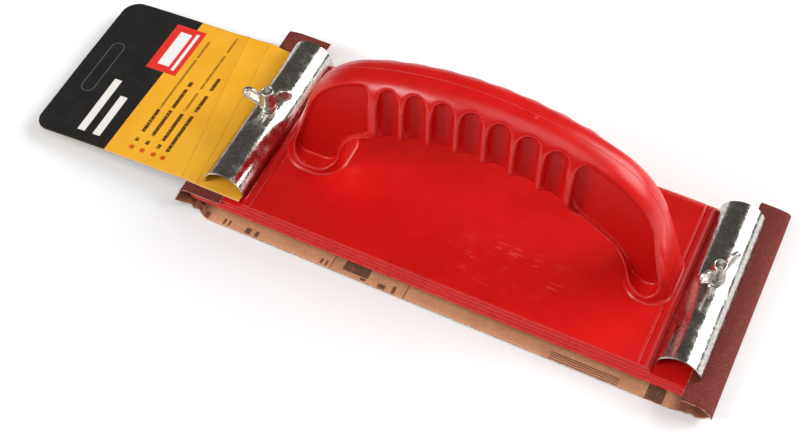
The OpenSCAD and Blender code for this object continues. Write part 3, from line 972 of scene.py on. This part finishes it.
def wing_nut(side, turn, finish):
    """Cast wing nut: a slim tapered hub, two dished wings set low on it, and an open bore."""
    node = "wing_nut_" + side
    lo, hi = box_mm(node)
    centre = (lo + hi) / 2
    cell = 0.2
    low = np.array([-11.6, -5.0, -0.6])
    axes = axes_of(low, (11.6, 5.0, 12.6), cell)
    x, y, z = np.meshgrid(*axes, indexing="ij")
    r = np.hypot(x, y)
    hub = rounded(r - (3.7 - 0.085 * z), np.abs(z - 5.4) - 5.4, 0.45)
    collar = rounded(r - 4.0, np.abs(z - 1.3) - 1.3, 0.5)
    u = np.abs(x)
    t = np.clip(((u - 2.6) * 5.2 + (z - 3.4) * 5.4) / (5.2 ** 2 + 5.4 ** 2), 0, 1)
    edge = np.hypot(u - 2.6 - 5.2 * t, z - 3.4 - 5.4 * t) - (2.4 + 0.8 * t)
    thin = 0.88 - 0.36 * smooth_step((-edge - 0.45) / 0.9)
    wing = rounded(edge, np.abs(y) - thin, 0.3)
    body = join(join(hub, collar, 0.6), wing, 0.8)
    body = carve(body, r - 2.06, 0.5)
    points, faces = field_mesh(body, low, cell)
    q = math.radians(turn)
    spin = np.array([[math.cos(q), -math.sin(q), 0], [math.sin(q), math.cos(q), 0], [0, 0, 1]])
    points = points @ spin.T + (centre[0], centre[1], lo[2])
    piece = make("wing_nut_casting_" + side, points, faces, [finish])
    relax(piece, 2)
    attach(piece, side + "_nut")
    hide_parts(node)


# ---- sheet and card

def sheet_path(mid_low, mid_high, tip):
    """The sheet's middle line in X and Z, from the left flap round the underside to the right flap."""
    tall = mid_high - mid_low
    bend = np.array([(-10, 0), (-6, 0.02), (-2.6, 0.1), (-0.6, 0.3), (0, 0.48), (-0.5, 0.7),
                     (-1.6, 0.87), (-3.6, 0.97), (-6, 1)]) * (1, tall) + (tip, mid_low)
    right_end = curve(np.concatenate([bend, [(108.4, mid_high)]]), 60)
    left_end = curve(np.concatenate([bend * (-1, 1), [(-105, mid_high), (-101.2, mid_high)]]), 60)
    underside = [(x, mid_low) for x in np.linspace(-111, 111, 200)]
    return resample(np.concatenate([left_end[::-1], underside, right_end]), 300)


def sag_underside(grid, x, y, z, mid_low):
    """Draws the far edge of the flat underside in, and lets its loose rims wave a little."""
    flat = np.where(z < mid_low + 0.4, 1, 0)
    beyond = smooth_step((np.abs(y) - 45.0) / 6.0)
    waist = smooth_step((y - 46) / 9) * smooth_step((112 - np.abs(x)) / 12)
    grid[..., 1] -= flat * waist * 4.0
    wave = (0.35 + 0.45 * sheet_ripple(grid, 22.0, 2.0)) * beyond
    grid[..., 2] += np.clip(wave, 0, 1) * flat * smooth_step((106 - np.abs(x)) / 18)


def skew_ends(grid, x, y, z, mid_low, mid_high):
    """Shifts the left flap askew, lifts the far corners and lets the right end slump."""
    high = smooth_step((z - 6.5) / 3.4)
    left = x < 0
    near = smooth_step((-y - 20) / 31)
    far = smooth_step((y - 20) / 36)
    grid[..., 1] += np.where(left, high * near * 3.4, 0)
    grid[..., 0] += np.where(left, high * (far * 1.3 - near * 0.6), 0)
    lift = smooth_step((np.abs(x) - 116) / 5) * np.where(z > mid_low + 1.2, 1, 0.3)
    grid[..., 2] += lift * far * (mid_high - 0.3 - z) * 0.6
    slump = lift * smooth_step((5 - y) / 45)
    height = np.clip((z - mid_low) / (mid_high - mid_low), 0, 1)
    grid[..., 2] -= slump * np.where(left, 0, 1.5) * height


def crumple_corners(grid, x, y, z):
    """Crumples the near left corner, and the near right one a little."""
    near = smooth_step((-y - 20) / 31) ** 3
    low_part = smooth_step((6 - z) / 4)
    crumple = smooth_step((-x - 106) / 11) * near
    fold = sheet_ripple(grid, 2.6, 5.0)
    grid[..., 1] += crumple * low_part * (2.6 + 1.0 * fold)
    grid[..., 2] += crumple * low_part * np.clip(0.9 + 1.3 * fold, 0, 2)
    grid[..., 0] += crumple * low_part * (4.2 + 0.6 * fold)
    curl = smooth_step((x - 102) / 12) * near * low_part
    grid[..., 1] += curl * (0.9 + 0.9 * fold)
    grid[..., 2] += curl * np.clip(0.5 + 1.1 * fold, 0, 1.5)


def fray_edges(grid):
    """Makes the sheet's four cut edges slightly uneven."""
    edge = np.zeros(grid.shape[:2])
    edge[[0, -1]] = 1
    grid[..., 0] += edge * 0.35 * sheet_ripple(grid, 1.4, 8.0)
    edge[:] = 0
    edge[:, 0] = 1
    edge[:, -1] = -1
    grid[..., 1] += edge * (0.1 + 0.1 * sheet_ripple(grid, 1.8, 6.0))


def sheet_ripple(grid, size, seed):
    """ripple() at each point of a grid of points."""
    return ripple(grid.reshape(-1, 3), size, seed).reshape(grid.shape[:2])


def abrasive_sheet():
    """The fitted sheet: one grid along the wrap and across it, grit outside and paper inside."""
    lo, hi = box_mm("sandpaper_sheet")
    top = box_mm("base_plate")[1][2] - SEAT_DROP + CLEARANCE + PAPER
    mid_low = lo[2] + PAPER / 2
    mid_high = top - PAPER / 2
    path = sheet_path(mid_low, mid_high, hi[0] - PAPER / 2)
    x, z = path[:, :1], path[:, 1:]
    y = np.linspace(lo[1] + 0.2, hi[1] - 0.2, 76)[None, :]
    grid = np.stack(np.broadcast_arrays(x, y, z), -1)
    sag_underside(grid, x, y, z, mid_low)
    skew_ends(grid, x, y, z, mid_low, mid_high)
    crumple_corners(grid, x, y, z)
    fray_edges(grid)
    points, faces, sides = thick_sheet(grid, PAPER * 0.96, 0.3)
    points[:, 2] = np.maximum(points[:, 2], lo[2] + 0.005)
    piece = make("abrasive_wrap", points, faces, [kraft(), grit(), torn_edge()], "sander",
                 choose=sides)
    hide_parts("sandpaper_sheet")


def hang_card():
    """The hang card: flat under the clamp, drooping to its free end, creased and slightly bowed."""
    lo, hi = box_mm("header_card")
    top = box_mm("base_plate")[1][2] - SEAT_DROP + CLEARANCE + PAPER + CLEARANCE
    plate_end = box_mm("base_plate")[0][0]
    corner = 8.0
    near_end = np.cos(np.linspace(0, math.pi / 2, 12)) * corner
    x = np.concatenate([lo[0] + corner - near_end, np.linspace(lo[0] + corner + 1, hi[0] - 0.15, 92)])
    x[0] += 0.15
    short = np.clip(corner - (x - lo[0]), 0, corner)
    half = (hi[1] - lo[1]) / 2 - 0.15 - corner + np.sqrt(corner ** 2 - short ** 2)
    share = np.linspace(-1, 1, 70)
    grid = np.zeros((len(x), len(share), 3))
    grid[..., 0] = x[:, None]
    grid[..., 1] = (lo[1] + hi[1]) / 2 + half[:, None] * share[None, :]
    t = np.clip((plate_end - x) / (plate_end - lo[0]), 0, 1)
    droop = (5.0 - top) * (0.35 * t + 0.65 * t * t)
    grid[..., 2] = (top + CARD / 2 + droop)[:, None]
    px, py = grid[..., 0], grid[..., 1]
    free = smooth_step((-115 - px) / 10)

    def ridge(x0, y0, x1, y1, wide, high):
        """A ridge along a line seen from above, falling off to both sides."""
        length = math.hypot(x1 - x0, y1 - y0)
        off = ((px - x0) * (y1 - y0) - (py - y0) * (x1 - x0)) / length
        return high * np.exp(-np.abs(off) / wide)

    lift = ridge(*CREASE, 3.0, 0.7) + ridge(-137.4, 39, -119.5, -38.7, 2.0, 0.35)
    bow = 1.6 * np.exp(-((px + 123) / 9) ** 2) * smooth_step((py - 12) / 32)
    grid[..., 2] += (lift + bow + 0.25 * np.sin(py / 19 + px / 37)) * free
    slot = np.hypot(px - SLOT[0], np.maximum(np.abs(py - SLOT[1]) - SLOT_HALF, 0))
    grid[..., 2] += 0.35 * np.exp(-((slot - SLOT_RADIUS) / 0.9) ** 2)
    points, faces, sides = thick_sheet(grid, CARD * 0.9, 0.3)
    face = card_face(-162.0)
    board = card_back("card_board", srgb(150, 132, 112))
    trim = card_back("card_edge", srgb(196, 176, 148))
    piece = make("hang_card", points, faces, [face, board, trim], "sander", choose=sides)
    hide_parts("header_card")


# ---- stage, light and camera

def floor():
    """Plain pale floor under the object."""
    x = np.linspace(-3000, 3000, 5)
    grid = np.stack(np.meshgrid(x, x, indexing="ij") + [np.full((5, 5), -0.05)], -1)
    piece = make("studio_floor", grid.reshape(-1, 3), grid_quads(5, 5), [pale_floor()])


def softbox(name, direction, distance, size, power):
    """A rectangular lamp that shines on the object from a direction."""
    lamp = bpy.data.lights.new(name, "AREA")
    lamp.shape = "RECTANGLE"
    lamp.size, lamp.size_y = size
    lamp.energy = power
    holder = bpy.data.objects.new(name, lamp)
    away = Vector(direction).normalized()
    holder.location = away * distance
    holder.rotation_euler = away.to_track_quat("Z", "Y").to_euler()
    bpy.context.scene.collection.objects.link(holder)


def camera():
    """Camera at the photograph's angle, with an 800 by 440 picture in mind."""
    data = bpy.data.cameras.new("camera")
    data.lens = 64.70
    data.sensor_width = 36
    data.sensor_fit = "HORIZONTAL"
    data.clip_start = 0.01
    azimuth, elevation, roll = (math.radians(v) for v in (24.99, 55.1, 0.65))
    back = Vector((math.sin(azimuth) * math.cos(elevation), -math.cos(azimuth) * math.cos(elevation),
                   math.sin(elevation)))
    level = (-back).cross(Vector((0, 0, 1))).normalized()
    upright = level.cross(-back)
    right = level * math.cos(roll) + upright * math.sin(roll)
    up = upright * math.cos(roll) - level * math.sin(roll)
    holder = bpy.data.objects.new("camera", data)
    turn = Matrix((right, up, back)).transposed().to_4x4()
    holder.matrix_world = Matrix.Translation(Vector((0.12023, -0.33813, 0.51311))) @ turn
    bpy.context.scene.collection.objects.link(holder)
    bpy.context.scene.camera = holder


def studio():
    """Dim surroundings, a pale floor and three soft lamps: behind on the right, front left and overhead."""
    scene = bpy.context.scene
    scene.view_settings.view_transform = "Standard"
    scene.view_settings.look = "None"
    world = bpy.data.worlds.new("surroundings")
    world.use_nodes = True
    backdrop = world.node_tree.nodes["Background"]
    backdrop.inputs["Color"].default_value = (1.0, 0.92, 0.88, 1)
    backdrop.inputs["Strength"].default_value = 0.11
    scene.world = world
    softbox("main_lamp", (0.70, 0.49, 0.52), 1.6, (1.4, 1.0), 30)
    softbox("front_left_lamp", (-0.62, -0.54, 0.57), 1.5, (0.62, 0.48), 12)
    softbox("fill_lamp", (0.12, -0.34, 0.93), 1.7, (1.5, 1.0), 10)
    floor()
    camera()


def build():
    """Every piece, in the order in which it is made, and then the studio."""
    steel = galvanised()
    zinc = zinc_plate()
    cell = 0.5
    outer = handle_body(cell)
    parting_line(outer)
    base_moulding()
    pad_slab()
    for side, turn in (("left", 21), ("right", 61)):
        threaded_stud(side, zinc)
        clamp_strip(side, steel)
        wing_nut(side, turn, zinc)
    abrasive_sheet()
    hang_card()
    studio()


build()
